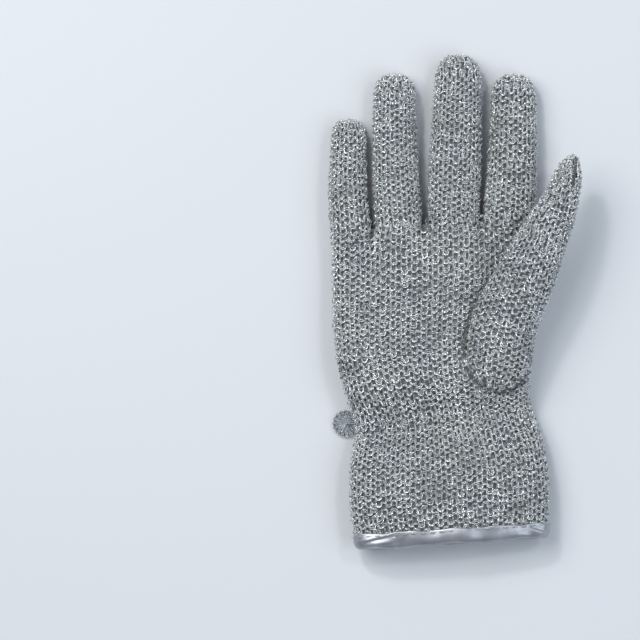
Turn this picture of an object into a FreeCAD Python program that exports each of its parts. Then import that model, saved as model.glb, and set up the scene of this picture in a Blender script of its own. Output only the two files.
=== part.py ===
import FreeCAD, Part
import math
import os

from FreeCAD import Vector

# Right-hand knitted metal-yarn glove with a white flocked liner, lying palm up. Millimetres.
# +Y runs from the wrist to the fingertips, +X towards the thumb, +Z out of the palm.
# The origin is the middle of the flat patch on the back of the hand that the glove lies on.

# ---- driving dimensions ----
KNIT = 2.2            # thickness of the knitted outer shell
LAYER_GAP = 0.3       # air between the shell and the liner
LINER = 1.5           # thickness of the flocked liner
SINK = 0.3            # how far the round shapes are flattened where they rest
KNUCKLE_LIFT = 0.5    # the soft bending zones stay this much clear of the surface below
SEAM_Z = 9.6          # height of the side seam between palm and back
POINTS = 24           # control points round a section
POWER_HAND = 2.5      # how square the hand's sections are (2 is an ellipse)
POWER_DIGIT = 2.25
LONG = 400.0          # size of the cutting boxes

# Hand sections from the finger roots to the hem: left end (x, y), right end (x, y), height, dip of the palm,
# height of the underside
HAND = [
    (-57.6, 39.6, 55.2, 52.4, 19.0, 0.0, -0.3),
    (-57.8, 35.0, 55.8, 47.0, 19.6, 0.0, -0.3),
    (-57.2, 22.0, 56.4, 32.0, 21.4, 1.0, -0.3),
    (-56.6, 5.5, 55.4, 11.0, 23.6, 2.4, -0.3),
    (-56.6, -13.8, 53.4, -11.0, 25.6, 2.6, -0.3),
    (-53.4, -33.0, 52.2, -31.9, 25.6, 1.6, -0.3),
    (-49.4, -47.0, 51.4, -41.0, 22.8, 0.5, -0.3),
    (-44.6, -60.0, 50.6, -48.0, 18.4, 0.0, -0.3),
    (-44.2, -69.0, 53.0, -55.0, 18.8, 0.0, -0.3),
    (-46.8, -79.0, 58.2, -68.0, 22.4, 0.0, -0.3),
    (-47.6, -92.0, 61.0, -84.0, 24.6, 0.0, -0.3),
    (-48.0, -108.0, 62.2, -102.0, 24.0, 0.0, 0.4),
    (-45.4, -121.6, 61.3, -114.8, 21.6, 0.0, 1.6),
    (-43.0, -129.4, 60.2, -122.4, 20.0, 0.0, 1.9),
]
WRIST_LEFT = Vector(-44.0, -64.5, 0)     # the line that the elastic gathers the glove along
WRIST_RIGHT = Vector(51.4, -51.5, 0)
WRIST_HALF = 8.0      # half the length of the wrist's bending zone

# Fingers: root (level of the crotch), tip, length of the dome, half lengths of the bending zones at base, middle
# and tip, and (x, half width, half height) at the root, 0.4 of the way up, and where the dome starts
FINGERS = {
    "little": dict(root=43.2, tip=106.4, dome=13.0, zones=(7.4, 7.4, 6.0),
                   shape=((-46.8, 11.4, 9.4), (-49.0, 10.6, 8.8), (-48.2, 9.8, 8.0))),
    "ring": dict(root=48.6, tip=131.2, dome=14.5, zones=(9.0, 9.0, 7.0),
                 shape=((-20.8, 13.4, 9.8), (-23.0, 12.5, 9.3), (-22.9, 11.7, 8.5))),
    "middle": dict(root=50.6, tip=141.6, dome=18.0, zones=(9.0, 9.0, 7.0),
                   shape=((9.3, 14.3, 9.9), (10.6, 14.4, 9.6), (11.9, 12.9, 8.8))),
    "index": dict(root=52.4, tip=131.0, dome=15.5, zones=(9.0, 9.0, 7.0),
                  shape=((40.0, 14.4, 9.8), (41.8, 13.6, 9.4), (42.6, 12.4, 8.5))),
}
HINGE_AT = (0.125, 0.43, 0.71)     # hinges along a finger, as shares of root to tip
ROOT_DEPTH = 22.0                  # how far a finger's tube runs down into the hand
ROOT_TAPER = 2.5                   # how much it narrows there

# Thumb sections from the bulb at its base to the start of the dome: x, y, z, half width, half height
THUMB = [
    (30.0, -42.0, 15.0, 9.0, 5.0),
    (31.0, -37.0, 16.4, 17.0, 10.0),
    (32.4, -23.8, 18.2, 19.8, 13.0),
    (35.8, -7.6, 20.4, 18.9, 12.8),
    (44.2, 10.1, 25.0, 17.5, 10.8),
    (52.0, 26.0, 29.2, 15.8, 9.5),
    (59.0, 42.0, 31.2, 13.6, 8.8),
    (66.6, 57.0, 31.4, 11.1, 8.2),
    (70.1, 67.2, 31.0, 8.9, 7.6),
]
THUMB_TIP = (75.0, 86.4, 30.0)
THUMB_AIM = (77.6, 86.2, 30.0)     # the hinges lie on a line from THUMB_FREE towards this point
THUMB_DOME = ((0.30, 0.93), (0.55, 0.78), (0.78, 0.56), (1.0, 0.34), (1.0, 0.0))
THUMB_ZONES = (8.0, 7.0, 6.4)
THUMB_HINGES = (9.0, 35.0, 57.0)   # along the thumb from THUMB_FREE
THUMB_FREE = (43.4, 7.6, 27.0)     # where the thumb leaves the hand
DOME = ((0.30, 0.98), (0.60, 0.91), (0.84, 0.74), (1.0, 0.42), (1.0, 0.0))

FIT = 0.05            # play between a sewn-on piece and the cloth below it
BINDING = 0.9         # thickness of the hem tape
BINDING_OUT = 7.4     # its height outside
BINDING_IN = 5.0      # and inside
HEM_RUN = 2.0         # the inner layers run on this far past the hem before they are trimmed
ELASTIC_HALF = 3.0
ELASTIC_THICK = 0.2
STITCH_PITCH = 5.0
STITCH_R = 0.35
BUTTON_CENTRE = Vector(-49.7, -61.2, 2.3)
BUTTON_R = 7.6
BUTTON_THICK = 4.0
BUTTON_SIDES = 14
BUTTON_HOLE_R = 0.8
THREAD_R = 0.35
POST_R = 0.55         # the thread's doubled strands through the button's hole
THREAD_END_X = -42.8  # where the thread runs into the wrist
SEAM_R = 0.9          # radius of the thread over the seam round the thumb's base
SEAM_PITCH = 4.2


def signed_power(value, power):
    return math.copysign(abs(value) ** power, value)


def section(centre, side, up, half_width, half_height, power, dip=0.0):
    """Control points of a superellipse round centre; dip hollows the middle of its upper side."""
    grow = 1 + (1 - math.cos(2 * math.pi / POINTS)) / 3
    points = []
    for k in range(POINTS):
        a = 2 * math.pi * k / POINTS
        u = signed_power(math.cos(a), 2 / power)
        v = signed_power(math.sin(a), 2 / power)
        hollow = dip * math.exp(-((u / 0.5) ** 2)) if v > 0 else 0.0
        points.append(centre + side * (half_width * grow * u) + up * (half_height * grow * v - hollow))
    return points


def skin(rows):
    """A solid whose side is a smooth surface held by rows of control points; the ends are flat or a point."""
    surface = Part.BSplineSurface()
    count = len(rows)
    spans = count - 3
    poles = [[rows[i][k] for k in range(POINTS)] for i in range(count)]
    surface.buildFromPolesMultsKnots(
        poles, [4] + [1] * (spans - 1) + [4], [1] * (POINTS + 1), list(range(spans + 1)),
        list(range(POINTS + 1)), False, True, 3, 3,
    )
    side = surface.toShape()
    faces = [side]
    for edge in side.Edges:
        if edge.isClosed() and not edge.Degenerated:
            faces.append(Part.Face(Part.Wire([edge])))
    shell = Part.makeShell(faces)
    shell.sewShape()
    solid = Part.Solid(shell)
    if solid.Volume < 0:
        solid.reverse()
    return solid


def below(z):
    """A box that fills everything under height z."""
    return Part.makeBox(LONG, LONG, LONG, Vector(-LONG / 2, -LONG / 2, z - LONG))


def slab(low, high):
    """Everything between two heights along Y."""
    return Part.makeBox(LONG, high - low, LONG, Vector(-LONG / 2, low, -LONG / 2))


def half_space(point, normal):
    """A large block on the side of the plane that normal points to."""
    block = Part.makeBox(LONG, LONG, LONG, Vector(-LONG / 2, -LONG / 2, 0))
    turn = FreeCAD.Rotation(Vector(0, 0, 1), normal)
    return block.transformGeometry(FreeCAD.Placement(point, turn).toMatrix())


def between(shape, point_a, point_b, axis):
    """The stretch of shape between two planes across axis."""
    return shape.common(half_space(point_a, axis)).common(half_space(point_b, axis * -1))


def hand_row(row, inset, shift=0.0):
    """One section of the hand, inset by a wall, moved by shift along the glove."""
    left, right = Vector(row[0], row[1], 0), Vector(row[2], row[3], 0)
    side = (right - left).normalize()
    along = Vector(-side.y, side.x, 0)
    half_width = (Vector(row[0], row[1], 0) - Vector(row[2], row[3], 0)).Length / 2 - inset
    half_height = row[4] / 2 - inset
    centre = (Vector(row[0], row[1], 0) + Vector(row[2], row[3], 0)) / 2
    centre = centre + along * shift + Vector(0, 0, row[4] / 2 + row[6])
    return section(centre, side, Vector(0, 0, 1), half_width, half_height, POWER_HAND, row[5])


def hand_body(inset, root_shift=0.0, hem_shift=0.0):
    """The palm, wrist and cuff as one solid, inset from the outer surface."""
    last = len(HAND) - 1
    shifts = {0: -root_shift, last: -hem_shift}
    return skin([hand_row(row, inset, shifts.get(i, 0.0)) for i, row in enumerate(HAND)])


def mix(a, b, t):
    return a + (b - a) * t


def finger_at(finger, y):
    """Centre x, half width and half height of a finger at y, below its dome."""
    part_way = mix(finger["root"], finger["tip"], 0.4)
    start = finger["tip"] - finger["dome"]
    base, mid, end = finger["shape"]
    if y < part_way:
        t = (y - finger["root"]) / (part_way - finger["root"])
        return [mix(p, q, t) for p, q in zip(base, mid)]
    t = (y - part_way) / (start - part_way)
    return [mix(p, q, t) for p, q in zip(mid, end)]


def finger_body(finger, inset):
    """A finger's tube from inside the hand to the closed tip, inset from the outer surface."""
    root, tip = finger["root"], finger["tip"]
    start = tip - finger["dome"]
    heights = [root - ROOT_DEPTH, root - 10, root, mix(root, start, 0.25), mix(root, start, 0.5)]
    heights += [mix(root, start, 0.75), start]
    rows = []
    for y in heights:
        x, half_width, half_height = finger_at(finger, max(y, root))
        taper = inset + max(root - y, 0) / ROOT_DEPTH * ROOT_TAPER
        rows.append((y, x, half_width - taper, half_height - taper, half_height - SINK))
    y, x, half_width, half_height, middle = rows[-1]
    for along, scale in DOME:
        rows.append((start + along * (finger["dome"] - inset), x, half_width * scale, half_height * scale, middle))
    across, up = Vector(1, 0, 0), Vector(0, 0, 1)
    return skin([section(Vector(x, y, z), across, up, w, h, POWER_DIGIT) for y, x, w, h, z in rows])


def thumb_row(centre, along, half_width, half_height):
    side = along.cross(Vector(0, 0, 1)).normalize()
    return section(centre, side, side.cross(along), half_width, half_height, POWER_DIGIT)


def thumb_body(inset):
    """The thumb's tube from the bulb at its base to the closed tip, inset from the outer surface."""
    centres = [Vector(*row[:3]) for row in THUMB] + [Vector(*THUMB_TIP)]
    rows = []
    for i, row in enumerate(THUMB):
        along = (centres[i + 1] - centres[max(i - 1, 0)]).normalize()
        shift = along * inset if i == 0 else Vector(0, 0, 0)
        rows.append(thumb_row(centres[i] + shift, along, row[3] - inset, row[4] - inset))
    start, axis = centres[-2], centres[-1] - centres[-2]
    reach = axis.Length - inset
    axis.normalize()
    for along, scale in THUMB_DOME:
        centre = start + axis * (along * reach)
        rows.append(thumb_row(centre, axis, (THUMB[-1][3] - inset) * scale, (THUMB[-1][4] - inset) * scale))
    return skin(rows)


def export(name, shape):
    solids = [s for s in shape.Solids if abs(s.Volume) > 0.5]
    if not solids or not all(s.isValid() for s in solids):
        print("BAD", name, len(solids))
    out = solids[0] if len(solids) == 1 else Part.makeCompound(solids)
    out.exportStep(os.path.join("parts", name + ".step"))
    points = out.tessellate(0.5)[0]
    low = [min(p[i] for p in points) for i in range(3)]
    high = [max(p[i] for p in points) for i in range(3)]
    spans = "  ".join(f"{a} {l:.1f}..{h:.1f}" for a, l, h in zip("xyz", low, high))
    print(f"{name:24s} {len(solids):3d} {sum(s.Volume for s in solids) / 1000:8.2f} cm3  {spans}")
    return out


# Every layer boundary of the wall, from the outside in
DEPTHS = (0.0, KNIT, KNIT + LAYER_GAP, KNIT + LAYER_GAP + LINER)
ROOT_GAP = 0.4        # the finger tubes are parted from the palm this far above their roots
PARTS = ("lower_stall", "middle_stall", "tip_stall")
ZONES = ("base_knuckle", "middle_knuckle", "tip_knuckle")


def make_finger(name, finger, layers):
    """Exports one finger's knitted stalls, its bending zones and its liner."""
    outer, inner, liner_outer, liner_inner = layers
    shell = outer.cut(inner).cut(below(0.0))
    length = finger["tip"] - finger["root"]
    hinges = [finger["root"] + share * length for share in HINGE_AT]
    low = finger["root"] + ROOT_GAP
    for i, (hinge, half) in enumerate(zip(hinges, finger["zones"])):
        start, end = max(hinge - half, low), hinge + half
        if i == 0:
            start = low
        export(f"{name}_{ZONES[i]}", shell.common(slab(start, end)).cut(below(KNUCKLE_LIFT)))
        stop = hinges[i + 1] - finger["zones"][i + 1] if i < 2 else finger["tip"] + 1
        export(f"{name}_{PARTS[i]}", shell.common(slab(end, stop)))
    liner = liner_outer.cut(liner_inner).common(slab(low, finger["tip"]))
    export(f"{name}_liner", liner)
    print(name, "hinges y", [round(h, 2) for h in hinges])


def thumb_planes():
    """The thumb's direction along the table, and its three hinges."""
    free, aim = Vector(*THUMB_FREE), Vector(*THUMB_AIM)
    axis = aim - free
    axis = Vector(axis.x, axis.y, 0).normalize()
    return axis, [free + axis * at for at in THUMB_HINGES]


def make_thumb(layers, hand):
    """Exports the thumb's root, stalls, bending zones and liner."""
    outer, inner, liner_outer, liner_inner = layers
    axis, hinges = thumb_planes()
    shell = outer.cut(inner)
    start = hinges[0] - axis * THUMB_ZONES[0]
    export("thumb_root", shell.common(half_space(start, axis * -1)).cut(hand[0]))
    for i, (hinge, half) in enumerate(zip(hinges, THUMB_ZONES)):
        zone = between(shell, hinge - axis * half, hinge + axis * half, axis)
        export(f"thumb_{ZONES[i]}", zone.cut(hand[0]) if i == 0 else zone)
        after = shell.common(half_space(hinge + axis * half, axis))
        if i < 2:
            after = after.common(half_space(hinges[i + 1] - axis * THUMB_ZONES[i + 1], axis * -1))
        export(f"thumb_{PARTS[i]}", after)
        print("thumb hinge", i, [round(v, 2) for v in hinge])
    print("thumb axis", [round(v, 4) for v in axis])
    export("thumb_liner", liner_outer.cut(liner_inner).cut(hand[2]))


def fused(hand, tubes):
    """One layer of the palm: the hand with the stubs of its fingers."""
    whole = hand
    for name, tube in tubes.items():
        finger = FINGERS[name]
        whole = whole.fuse(tube.common(slab(finger["root"] - ROOT_DEPTH - 1, finger["root"] + ROOT_GAP)))
    return whole


def opened(hand, tubes):
    """One inner layer of the palm; its finger stubs run on past the outer ones so that the tubes stay open."""
    whole = hand
    for name, tube in tubes.items():
        finger = FINGERS[name]
        whole = whole.fuse(tube.common(slab(finger["root"] - ROOT_DEPTH - 1, finger["root"] + ROOT_GAP + 2)))
    return whole


def main():
    os.makedirs("parts", exist_ok=True)
    tubes = {name: [finger_body(finger, d) for d in DEPTHS] for name, finger in FINGERS.items()}
    thumb_layers = [thumb_body(d) for d in DEPTHS]
    hand = [hand_body(d, d, 0.0 if d == 0 else HEM_RUN) for d in DEPTHS]
    for name, finger in FINGERS.items():
        make_finger(name, finger, tubes[name])
    make_thumb(thumb_layers, hand)

    wrist = (WRIST_RIGHT - WRIST_LEFT).normalize()
    up_hand = Vector(-wrist.y, wrist.x, 0)
    above_wrist = half_space(WRIST_LEFT + up_hand * WRIST_HALF, up_hand)
    under_wrist = half_space(WRIST_LEFT - up_hand * WRIST_HALF, up_hand * -1)

    layer = [fused(hand[0], {n: t[0] for n, t in tubes.items()})]
    layer += [opened(hand[i], {n: t[i] for n, t in tubes.items()}) for i in (1, 2, 3)]
    layer2 = fused(hand[2], {n: t[2] for n, t in tubes.items()})
    palm = layer[0].cut(layer[1]).cut(below(0.0)).common(above_wrist).cut(thumb_layers[1])
    upper = half_space(Vector(0, 0, SEAM_Z), Vector(0, 0, 1))
    export("palm_panel", palm.common(upper))
    export("back_panel", palm.cut(upper))
    export("palm_liner", layer2.cut(layer[3]).common(above_wrist).cut(thumb_layers[3]))

    cuff = hand[0].cut(hand[1]).cut(below(0.0)).common(under_wrist)
    export("cuff_front_panel", cuff.common(upper))
    export("cuff_back_panel", cuff.cut(upper))
    hem_left, hem_right = Vector(*HAND[-1][:2], 0), Vector(*HAND[-1][2:4], 0)
    hem_side = (Vector(*HAND[-1][2:4], 0) - Vector(*HAND[-1][:2], 0)).normalize()
    hem_up = Vector(-hem_side.y, hem_side.x, 0)
    above_hem = half_space(hem_left, hem_up)
    export("cuff_liner", hand[2].cut(hand[3]).common(under_wrist).common(above_hem))
    low_wrist, high_wrist = WRIST_LEFT - up_hand * WRIST_HALF, WRIST_LEFT + up_hand * WRIST_HALF
    gather = between(hand[0].cut(hand[1]), low_wrist, high_wrist, up_hand)
    export("wrist_gather", gather.cut(below(KNUCKLE_LIFT)))
    export("wrist_liner", between(hand[2].cut(hand[3]), low_wrist, high_wrist, up_hand))
    band = hand_body(KNIT + FIT).cut(hand_body(KNIT + FIT + ELASTIC_THICK))
    export("wrist_elastic", between(band, WRIST_LEFT - up_hand * ELASTIC_HALF, WRIST_LEFT + up_hand * ELASTIC_HALF,
                                    up_hand))
    make_binding(hem_left, hem_up)
    make_thumb_seam(thumb_layers[0], hand[0])
    make_button()


def make_binding(hem_left, hem_up):
    """Exports the tape folded over the hem and the stitches along its upper edge."""
    outside = hand_body(-FIT - BINDING, 0.0, BINDING + 1)
    inside = hand_body(DEPTHS[3] + FIT + BINDING, DEPTHS[3], HEM_RUN)
    tape = outside.cut(inside)
    tape = between(tape, hem_left - hem_up * BINDING, hem_left + hem_up * BINDING_OUT, hem_up)
    wall = hand_body(-FIT).cut(hand_body(DEPTHS[3] + FIT, DEPTHS[3], HEM_RUN))
    tape = tape.cut(wall.common(half_space(hem_left - hem_up * FIT, hem_up)))
    core = hand_body(DEPTHS[3] + FIT + 0.01, DEPTHS[3], HEM_RUN).common(half_space(hem_left + hem_up * BINDING_IN, hem_up))
    export("hem_binding", tape.cut(core))
    level = hem_left + hem_up * (BINDING_OUT - 1.6)
    ring = max(outside.slice(hem_up, hem_up.dot(level)), key=lambda wire: wire.Length)
    count = int(ring.Length / STITCH_PITCH)
    points = ring.discretize(Number=2 * count + 1)
    middle = ring.BoundBox.Center
    stitches = []
    for a, b in zip(points[::2], points[1::2]):
        along = b - a
        out = along.cross(hem_up).normalize()
        if out.dot(a - middle) < 0:
            out = out * -1
        start = a + out * (STITCH_R + 0.25)
        if min(start.z, start.z + along.z) > STITCH_R:
            stitches.append(Part.makeCylinder(STITCH_R, along.Length, start, along))
    export("hem_stitches", Part.makeCompound(stitches))


def make_thumb_seam(thumb_outer, hand_outer):
    """Exports the stitches over the seam that joins the thumb to the palm."""
    edges = thumb_outer.section(hand_outer).Edges
    loops = [Part.Wire(group) for group in Part.sortEdges(edges)]
    loop = max(loops, key=lambda wire: wire.Length)
    points = loop.discretize(Number=int(loop.Length / SEAM_PITCH) + 1)
    stitches = []
    for a, b in zip(points, points[1:]):
        along = b - a
        if min(a.z, b.z) > SEAM_Z + 3:
            stitches.append(Part.makeCylinder(SEAM_R, along.Length * 0.6, a, along))
    stitches = Part.makeCompound(stitches).cut(thumb_outer).cut(hand_outer)
    export("thumb_seam", stitches)


def ring_of(radius, z):
    points = []
    for k in range(BUTTON_SIDES + 1):
        a = 2 * math.pi * k / BUTTON_SIDES
        points.append(BUTTON_CENTRE + Vector(radius * math.cos(a), radius * math.sin(a), z))
    return Part.makePolygon(points)


def make_button():
    """Exports the clear faceted button at the side of the wrist and the thread that holds it."""
    half = BUTTON_THICK / 2
    levels = ((-half, 0.72), (-0.3 * half, 0.98), (0.2 * half, 1.0), (0.65 * half, 0.84), (half, 0.52))
    solid = Part.makeLoft([ring_of(BUTTON_R * share, z) for z, share in levels], True, True)
    low = BUTTON_CENTRE - Vector(0, 0, half + 1)
    solid = solid.cut(Part.makeCylinder(BUTTON_HOLE_R, BUTTON_THICK + 2, low, Vector(0, 0, 1)))
    export("button", solid)
    run_level = BUTTON_CENTRE + Vector(0, 0, half + THREAD_R + FIT)
    run = Part.makeCylinder(THREAD_R, THREAD_END_X - run_level.x, run_level, Vector(1, 0, 0))
    foot = BUTTON_CENTRE - Vector(0, 0, half)
    post = Part.makeCylinder(POST_R, run_level.z + POST_R - foot.z, foot, Vector(0, 0, 1))
    thread = post.fuse(run)
    export("button_thread", thread)


main()
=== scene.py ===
"""Looks for the knitted metal-yarn glove: yarn loops, flocked liner, satin hem tape and clear button."""

import math

import bpy
import numpy as np
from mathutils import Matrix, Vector
from mathutils.bvhtree import BVHTree


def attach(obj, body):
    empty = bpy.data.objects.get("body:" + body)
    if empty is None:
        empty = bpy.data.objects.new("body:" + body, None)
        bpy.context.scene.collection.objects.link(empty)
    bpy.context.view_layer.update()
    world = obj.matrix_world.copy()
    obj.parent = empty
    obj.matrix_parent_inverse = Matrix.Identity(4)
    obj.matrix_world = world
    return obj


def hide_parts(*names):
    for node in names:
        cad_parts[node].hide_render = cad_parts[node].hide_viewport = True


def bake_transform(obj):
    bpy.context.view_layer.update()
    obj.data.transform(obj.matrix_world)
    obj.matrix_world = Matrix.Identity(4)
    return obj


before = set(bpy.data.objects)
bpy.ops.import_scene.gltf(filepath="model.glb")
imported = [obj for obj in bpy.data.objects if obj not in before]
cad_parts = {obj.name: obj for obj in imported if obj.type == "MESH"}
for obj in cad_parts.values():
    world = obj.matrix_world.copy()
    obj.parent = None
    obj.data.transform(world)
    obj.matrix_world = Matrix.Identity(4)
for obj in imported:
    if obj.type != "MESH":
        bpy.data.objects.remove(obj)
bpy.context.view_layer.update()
rng = np.random.default_rng(11)
MM = 0.001
UP = np.array([0.0, 0.0, 1.0])
Y_AXIS = np.array([0.0, 1.0, 0.0])

# ---- the glove's outer surface, in millimetres: the same control rows as the CAD part ----
POINTS = 24            # control points round a section
POWER_HAND = 2.5       # how square the hand's sections are (2 is an ellipse)
POWER_DIGIT = 2.25
SINK = 0.3             # how far the round shapes are flattened where they rest

# left end (x, y), right end (x, y), height, dip of the palm, height of the underside
HAND = [
    (-57.6, 39.6, 55.2, 52.4, 19.0, 0.0, -0.3),
    (-57.8, 35.0, 55.8, 47.0, 19.6, 0.0, -0.3),
    (-57.2, 22.0, 56.4, 32.0, 21.4, 1.0, -0.3),
    (-56.6, 5.5, 55.4, 11.0, 23.6, 2.4, -0.3),
    (-56.6, -13.8, 53.4, -11.0, 25.6, 2.6, -0.3),
    (-53.4, -33.0, 52.2, -31.9, 25.6, 1.6, -0.3),
    (-49.4, -47.0, 51.4, -41.0, 22.8, 0.5, -0.3),
    (-44.6, -60.0, 50.6, -48.0, 18.4, 0.0, -0.3),
    (-44.2, -69.0, 53.0, -55.0, 18.8, 0.0, -0.3),
    (-46.8, -79.0, 58.2, -68.0, 22.4, 0.0, -0.3),
    (-47.6, -92.0, 61.0, -84.0, 24.6, 0.0, -0.3),
    (-48.0, -108.0, 62.2, -102.0, 24.0, 0.0, 0.4),
    (-45.4, -121.6, 61.3, -114.8, 21.6, 0.0, 1.6),
    (-43.0, -129.4, 60.2, -122.4, 20.0, 0.0, 1.9),
]
WRIST_LEFT = np.array([-44.0, -64.5, 0.0])
WRIST_RIGHT = np.array([51.4, -51.5, 0.0])

# root, tip, length of the dome, and (x, half width, half height) at the root, MID_SHARE of the way and the
# dome's start
MID_SHARE = 0.4
FINGERS = {
    "little": (43.2, 106.4, 13.0, ((-46.8, 11.4, 9.4), (-49.0, 10.6, 8.8), (-48.2, 9.8, 8.0))),
    "ring": (48.6, 131.2, 14.5, ((-20.8, 13.4, 9.8), (-23.0, 12.5, 9.3), (-22.9, 11.7, 8.5))),
    "middle": (50.6, 141.6, 18.0, ((9.3, 14.3, 9.9), (10.6, 14.4, 9.6), (11.9, 12.9, 8.8))),
    "index": (52.4, 131.0, 15.5, ((40.0, 14.4, 9.8), (41.8, 13.6, 9.4), (42.6, 12.4, 8.5))),
}
HINGE_AT = (0.125, 0.43, 0.71)      # hinges along a finger, as shares of root to tip
HINGE_HALF = {                      # half the length of cloth that bends at each hinge
    "little": (7.6, 8.6, 8.0),
    "ring": (9.6, 11.0, 9.5),
    "middle": (10.6, 11.5, 10.5),
    "index": (9.4, 11.0, 9.5),
}
ROOT_DEPTH = 22.0                   # how far a finger's tube runs down into the hand
ROOT_ROW = 10.0                     # a row of control points this far down
ROOT_TAPER = 2.5                    # how much it narrows there
# share of the dome's length, share of the half width
DOME = ((0.30, 0.98), (0.60, 0.91), (0.84, 0.74), (1.0, 0.42), (1.0, 0.0))

# x, y, z, half width, half height
THUMB = [
    (30.0, -42.0, 15.0, 9.0, 5.0),
    (31.0, -37.0, 16.4, 17.0, 10.0),
    (32.4, -23.8, 18.2, 19.8, 13.0),
    (35.8, -7.6, 20.4, 18.9, 12.8),
    (44.2, 10.1, 25.0, 17.5, 10.8),
    (52.0, 26.0, 29.2, 15.8, 9.5),
    (59.0, 42.0, 31.2, 13.6, 8.8),
    (66.6, 57.0, 31.4, 11.1, 8.2),
    (70.1, 67.2, 31.0, 8.9, 7.6),
]
THUMB_TIP = np.array([75.0, 86.4, 30.0])
THUMB_AIM = np.array([77.6, 86.2, 30.0])      # the hinges lie on a line from THUMB_FREE towards this point
THUMB_DOME = ((0.30, 0.93), (0.55, 0.78), (0.78, 0.56), (1.0, 0.34), (1.0, 0.0))
THUMB_FREE = np.array([43.4, 7.6, 27.0])      # where the thumb comes free of the palm
THUMB_HINGES = (9.0, 35.0, 57.0)              # distances of the hinges from there
THUMB_HINGE_Z = (27.0, 30.6, 31.2)
THUMB_HALF = (9.0, 10.0, 9.0)
THUMB_WALES = 16
THUMB_SEAM = ((0.18, 24.0), (0.155, 2.5))     # the tip's seam: share of the way round, distance from the tip

BUTTON_CENTRE = np.array([-49.7, -61.2, 2.3])
BUTTON_R = 7.6
BUTTON_THICK = 4.0
BUTTON_HOLE = 0.8
BUTTON_SIDES = 32      # ridges and valleys in turn

# ---- the knit ----
PITCH = 3.8            # from one course of loops to the next
WALE = 5.7             # from one column of loops to the next
YARN_DEPTH = 0.60      # middle of the silver yarn below the outer surface
YARN_R = 0.27          # radius of one strand
GROUND_DEPTH = 1.15    # the grey ground yarn lies behind it
GROUND_R = 0.70
BACKING_DEPTH = 1.9    # the woolly back of the knit, darkened as painted shade in the holes between the loops
LINER_DEPTH = 4.0      # the liner's white inside
FLOOR_GAP = 0.08       # no yarn reaches below this height
TIP_GAP = 0.8          # the last course stops this far from a digit's end
SEAM_DEPTH = 1.4       # how far the cloth is drawn in at the seam round the thumb's base
SEAM_WIDTH = 1.3
HIDDEN_DEPTH = 1.2     # yarn this far inside the thumb or the hand is left out
# points a loop, sides of the yarn, radius, depth; half a loop's height as a share of the pitch, lean of its
# legs, rise of its arcs over its legs, unevenness, and half the distance between two twisted strands
SILVER = dict(
    segments=20, sides=6, radius=YARN_R, depth=YARN_DEPTH,
    height=0.84, lean=0.135, swell=0.82, rough=1.0, gap=0.40,
)
GROUND = dict(
    segments=12, sides=5, radius=GROUND_R, depth=GROUND_DEPTH,
    height=0.70, lean=0.12, swell=0.10, rough=0.7, gap=0.0,
)

# ---- the surface's grid ----
AROUND = 240           # grid points round a ring of the surface
STEP = 0.5             # spacing of the grid's rings
FINE_ROWS = 500        # rings worked out before they are evenly spaced
END_GAP = 0.3          # yarn stays this far short of a tube's end
OPEN_REACH = 1.1       # yarn may pass an open end this far


def smooth(t):
    t = np.clip(t, 0.0, 1.0)
    return t * t * (3 - 2 * t)


def mix(a, b, t):
    return a + (b - a) * t


def section(centre, side, up, half_width, half_height, power, dip=0.0):
    """Control points of a superellipse round centre; dip hollows the middle of its upper side."""
    grow = 1 + (1 - math.cos(2 * math.pi / POINTS)) / 3      # the spline lies inside its control points
    angle = 2 * np.pi * np.arange(POINTS) / POINTS
    u = np.sign(np.cos(angle)) * np.abs(np.cos(angle)) ** (2 / power)
    v = np.sign(np.sin(angle)) * np.abs(np.sin(angle)) ** (2 / power)
    hollow = np.where(v > 1e-9, dip * np.exp(-((u / 0.5) ** 2)), 0.0)
    return centre + np.outer(half_width * grow * u, side) + np.outer(half_height * grow * v - hollow, up)


def along_weights(count, where):
    """Each control row's weight at the values of where: a cubic B-spline clamped at both ends."""
    spans = count - 3
    knots = np.concatenate([[0.0] * 3, np.arange(spans + 1.0), [spans] * 3])
    t = np.minimum(where, spans - 1e-9)[:, None]
    weights = ((knots[:-1] <= t) & (t < knots[1:])).astype(float)
    for degree in (1, 2, 3):
        rise = knots[degree:-1] - knots[: -degree - 1]
        fall = knots[degree + 1 :] - knots[1:-degree]
        up = np.where(rise > 0, (t - knots[: -degree - 1]) / np.where(rise > 0, rise, 1), 0)
        down = np.where(fall > 0, (knots[degree + 1 :] - t) / np.where(fall > 0, fall, 1), 0)
        weights = up * weights[:, :-1] + down * weights[:, 1:]
    return weights


def round_weights(where):
    """Each control point's weight at shares of the way round a closed cubic B-spline."""
    at = where * POINTS
    k = np.floor(at).astype(int)
    t = at - k
    parts = ((1 - t) ** 3, 3 * t**3 - 6 * t**2 + 4, -3 * t**3 + 3 * t**2 + 3 * t + 1, t**3)
    weights = np.zeros((len(where), POINTS))
    for shift, part in zip((-1, 0, 1, 2), parts):
        weights[np.arange(len(where)), (k + shift) % POINTS] += part / 6
    return weights


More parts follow.
